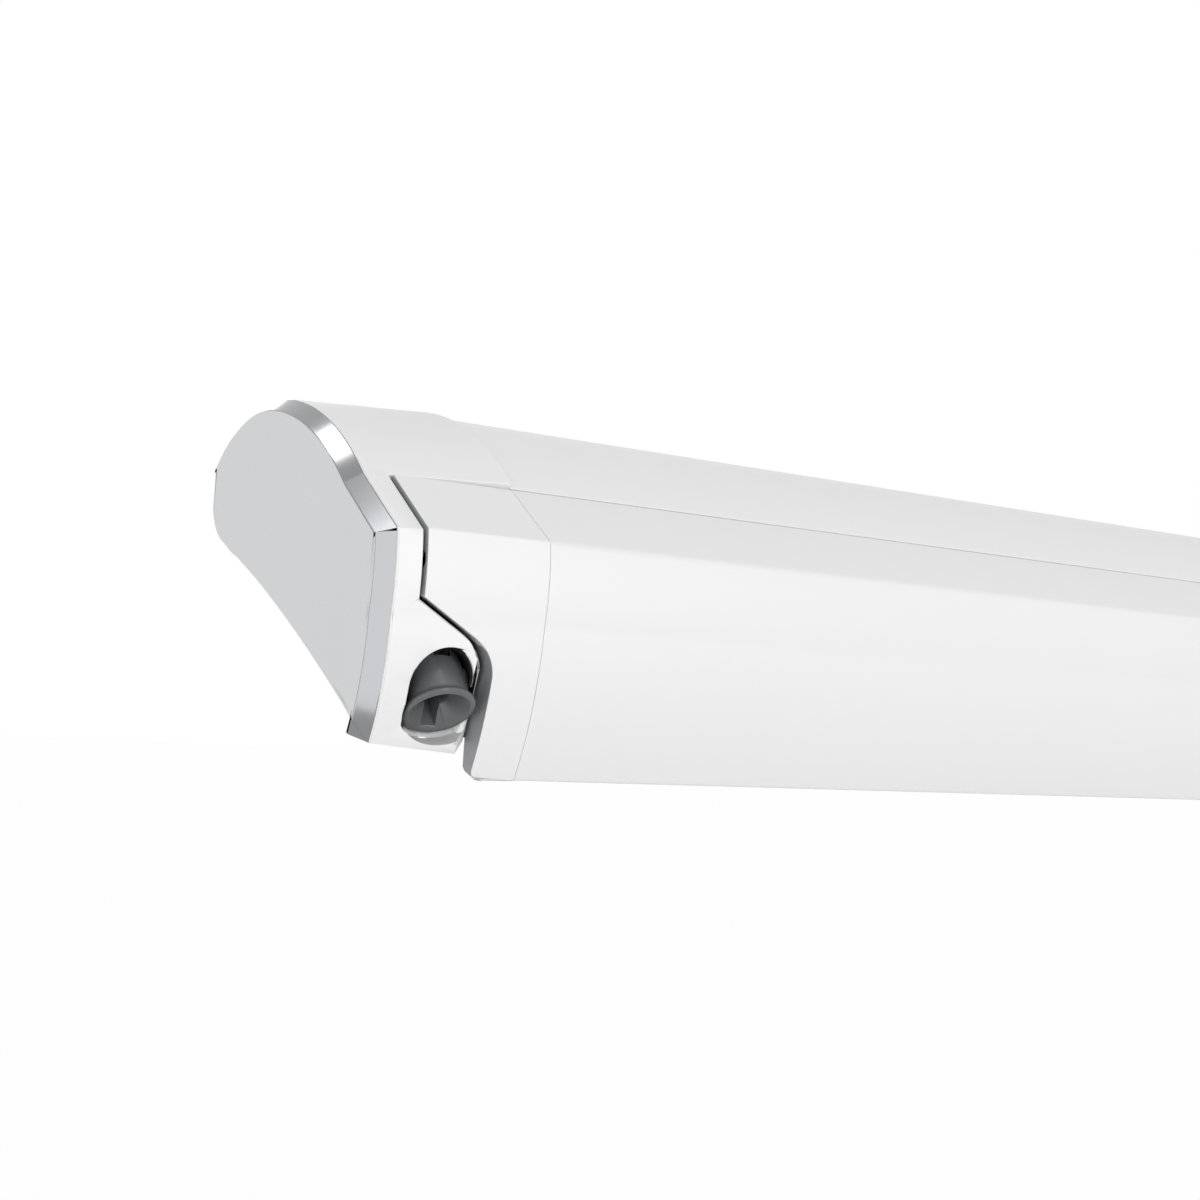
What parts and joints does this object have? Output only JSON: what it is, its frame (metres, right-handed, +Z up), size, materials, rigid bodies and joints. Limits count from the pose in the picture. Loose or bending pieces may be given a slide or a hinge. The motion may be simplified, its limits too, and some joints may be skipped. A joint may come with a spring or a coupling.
{
  "type": "roll out awning",
  "caption": "Slim wall-mounted cassette awning with a rounded case, folding arms, wound canopy, drop-down support legs and a crank bell at the left end.",
  "frame": {"origin": "middle of the flat band on the back of the case that lies against the vehicle, at mid length, on the line of the mounting bolts", "axes": "+X along the awning, to the right as seen from the front; +Y towards the vehicle, out of the back; +Z up"},
  "size_m": [2.6, 0.1723, 0.1376],
  "materials": {
    "case": "satin pearl grey coating on extruded aluminium",
    "cap": "fine satin white moulding",
    "trim": "satin face with polished chamfer",
    "steel": "zinc plated",
    "arm": "satin powder coat",
    "casting": "satin powder coat on die cast aluminium",
    "tube": "anodised",
    "dark_plastic": "matt",
    "gear_plastic": "natural nylon",
    "fabric": "coated woven polyester"
  },
  "bodies": {
    "cassette": {"cassette_profile": "case", "end_cap_left": "cap", "end_cap_right": "cap", "trim_plate_left": "trim", "trim_plate_right": "trim", "end_cap_screws": "steel", "gearbox_housing": "dark_plastic", "gearbox_cover": "dark_plastic", "bearing_plates": "steel", "roller_bushes": "gear_plastic", "shoulder_bracket_left": "casting", "shoulder_bracket_right": "casting", "shoulder_pins": "steel", "shoulder_bracket_bolts": "steel"},
    "roller": {"roller_tube": "tube", "roller_plug_left": "dark_plastic", "roller_plug_right": "dark_plastic", "roller_gear": "gear_plastic", "fabric_roll": "fabric"},
    "gear_shaft": {"worm_wheel": "gear_plastic", "idler_pinion": "gear_plastic"},
    "crank_drive": {"crank_bell": "dark_plastic", "worm_shaft": "steel"},
    "lead_rail": {"lead_rail_profile": "case", "lead_cap_left": "cap", "lead_cap_right": "cap", "lead_cap_screws": "steel", "wrist_bracket_left": "casting", "wrist_bracket_right": "casting", "wrist_pins": "steel", "wrist_bracket_screws": "steel", "fabric_lead": "fabric", "leg_hinges": "steel"},
    "upper_arm_left": {"upper_arm_left": "arm", "upper_arm_knuckle_left": "casting", "elbow_fork_left": "casting", "elbow_pin_left": "steel"},
    "forearm_left": {"forearm_left": "arm", "forearm_elbow_end_left": "casting", "forearm_wrist_end_left": "casting", "arm_spring_left": "steel"},
    "leg_left": {"leg_tube_left": "tube", "leg_collar_left": "dark_plastic"},
    "leg_extension_left": {"leg_inner_tube_left": "tube"},
    "leg_lever_left": {"leg_lever_left": "dark_plastic"},
    "leg_foot_left": {"leg_foot_left": "dark_plastic"},
    "upper_arm_right": {"upper_arm_right": "arm", "upper_arm_knuckle_right": "casting", "elbow_fork_right": "casting", "elbow_pin_right": "steel"},
    "forearm_right": {"forearm_right": "arm", "forearm_elbow_end_right": "casting", "forearm_wrist_end_right": "casting", "arm_spring_right": "steel"},
    "leg_right": {"leg_tube_right": "tube", "leg_collar_right": "dark_plastic"},
    "leg_extension_right": {"leg_inner_tube_right": "tube"},
    "leg_lever_right": {"leg_lever_right": "dark_plastic"},
    "leg_foot_right": {"leg_foot_right": "dark_plastic"}
  },
  "joints": [
    {"name": "shoulder_left", "type": "hinge", "parent": "cassette", "child": "upper_arm_left", "pos_m": [-1.13, -0.0995, -0.0415], "axis": [0, 0.2756, -0.9613], "range_deg": [0, 70]},
    {"name": "elbow_left", "type": "hinge", "parent": "upper_arm_left", "child": "forearm_left", "pos_m": [-0.07006, -0.11, -0.04451], "axis": [0, -0.2756, 0.9613], "range_deg": [0, 140]},
    {"name": "wrist_left", "type": "hinge", "parent": "forearm_left", "child": "lead_rail", "pos_m": [-1.13, -0.1205, -0.04752], "axis": [0, 0.2756, -0.9613], "range_deg": [0, 70]},
    {"name": "shoulder_right", "type": "hinge", "parent": "cassette", "child": "upper_arm_right", "pos_m": [1.13, -0.0995, -0.0415], "axis": [0, -0.2756, 0.9613], "range_deg": [0, 70]},
    {"name": "elbow_right", "type": "hinge", "parent": "upper_arm_right", "child": "forearm_right", "pos_m": [0.07006, -0.11, -0.04451], "axis": [0, 0.2756, -0.9613], "range_deg": [0, 140]},
    {"name": "roller_turn", "type": "hinge", "parent": "cassette", "child": "roller", "pos_m": [0, -0.059, -0.01], "axis": [1, 0, 0], "range_deg": [0, 4145]},
    {"name": "gear_shaft_turn", "type": "hinge", "parent": "cassette", "child": "gear_shaft", "pos_m": [-1.255, -0.0968, -0.02654], "axis": [1, 0, 0], "range_deg": [-8290, 0]},
    {"name": "crank_turn", "type": "hinge", "parent": "cassette", "child": "crank_drive", "pos_m": [-1.2719, -0.16247, -0.0829], "axis": [0, -0.5878, -0.809], "range_deg": [0, 33160]},
    {"name": "leg_swing_left", "type": "hinge", "parent": "lead_rail", "child": "leg_left", "pos_m": [-1.165, -0.145, -0.063], "axis": [0, 1, 0], "range_deg": [0, 90]},
    {"name": "leg_extend_left", "type": "slide", "parent": "leg_left", "child": "leg_extension_left", "axis": [1, 0, 0], "range_m": [0, 0.9]},
    {"name": "leg_clamp_left", "type": "hinge", "parent": "leg_left", "child": "leg_lever_left", "pos_m": [-0.184, -0.145, -0.076], "axis": [0, -1, 0], "range_deg": [0, 70]},
    {"name": "leg_foot_tilt_left", "type": "hinge", "parent": "leg_extension_left", "child": "leg_foot_left", "pos_m": [-0.139, -0.145, -0.063], "axis": [0, 1, 0], "range_deg": [0, 90]},
    {"name": "leg_swing_right", "type": "hinge", "parent": "lead_rail", "child": "leg_right", "pos_m": [1.165, -0.145, -0.087], "axis": [0, -1, 0], "range_deg": [0, 90]},
    {"name": "leg_extend_right", "type": "slide", "parent": "leg_right", "child": "leg_extension_right", "axis": [-1, 0, 0], "range_m": [0, 0.9]},
    {"name": "leg_clamp_right", "type": "hinge", "parent": "leg_right", "child": "leg_lever_right", "pos_m": [0.184, -0.145, -0.1], "axis": [0, 1, 0], "range_deg": [0, 70]},
    {"name": "leg_foot_tilt_right", "type": "hinge", "parent": "leg_extension_right", "child": "leg_foot_right", "pos_m": [0.139, -0.145, -0.087], "axis": [0, -1, 0], "range_deg": [0, 90]}
  ],
  "couplings": [
    {"joint": "elbow_left", "follows": "shoulder_left", "ratio": 2},
    {"joint": "wrist_left", "follows": "shoulder_left", "ratio": 1},
    {"joint": "shoulder_right", "follows": "shoulder_left", "ratio": 1},
    {"joint": "elbow_right", "follows": "shoulder_left", "ratio": 2},
    {"joint": "roller_turn", "follows": "shoulder_left", "ratio": 59.2},
    {"joint": "gear_shaft_turn", "follows": "shoulder_left", "ratio": -118.4},
    {"joint": "crank_turn", "follows": "shoulder_left", "ratio": 473.6}
  ]
}
